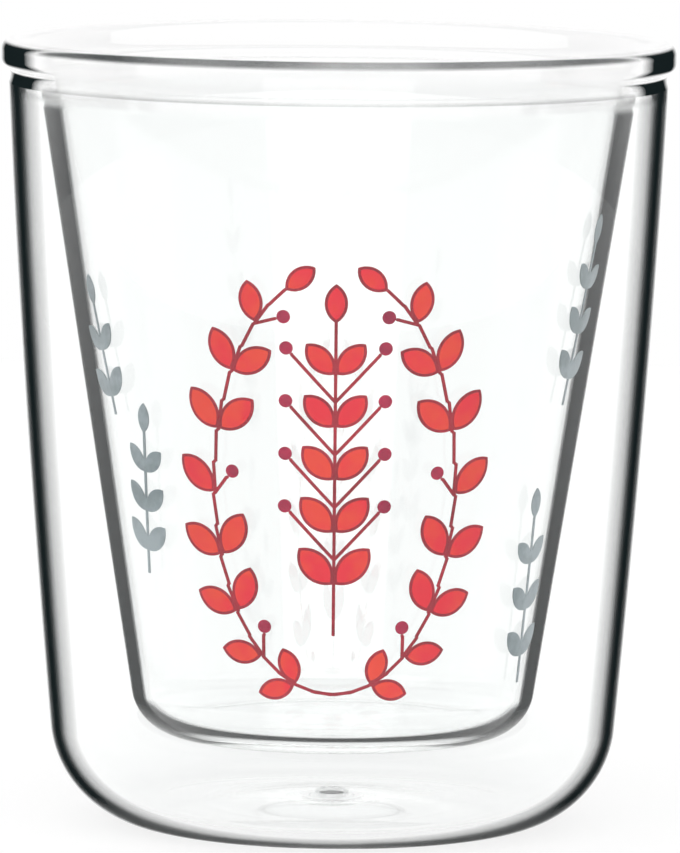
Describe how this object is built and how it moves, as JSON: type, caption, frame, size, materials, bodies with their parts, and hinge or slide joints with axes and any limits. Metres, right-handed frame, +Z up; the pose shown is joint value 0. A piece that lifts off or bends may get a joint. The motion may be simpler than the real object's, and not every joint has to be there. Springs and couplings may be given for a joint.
{
  "type": "double walled drinking glass",
  "caption": "Tapered double walled drinking glass: outer tumbler and inner bowl fused at a beaded rim, vented air gap, leaf print on the bowl.",
  "frame": {"origin": "centre of the cup's footprint, on the table plane", "axes": "+Z up along the cup's axis, -Y towards the printed front"},
  "size_m": [0.086, 0.086, 0.1008],
  "materials": {
    "outer_glass": "clear gloss",
    "inner_glass": "clear gloss",
    "rim_glass": "fire polished",
    "silicone": "satin, translucent",
    "red_enamel": "fired glass enamel, satin gloss",
    "crimson_enamel": "fired glass enamel, satin gloss",
    "berry_enamel": "fired glass enamel, satin gloss",
    "grey_enamel": "fired glass enamel, satin gloss"
  },
  "bodies": {
    "root": {"outer_wall": "outer_glass", "inner_wall": "inner_glass", "fused_rim": "rim_glass", "vent_plug": "silicone", "front_leaf_print": "red_enamel", "front_outline_print": "crimson_enamel", "front_berry_print": "berry_enamel", "left_print": "grey_enamel", "right_print": "grey_enamel"}
  },
  "joints": []
}
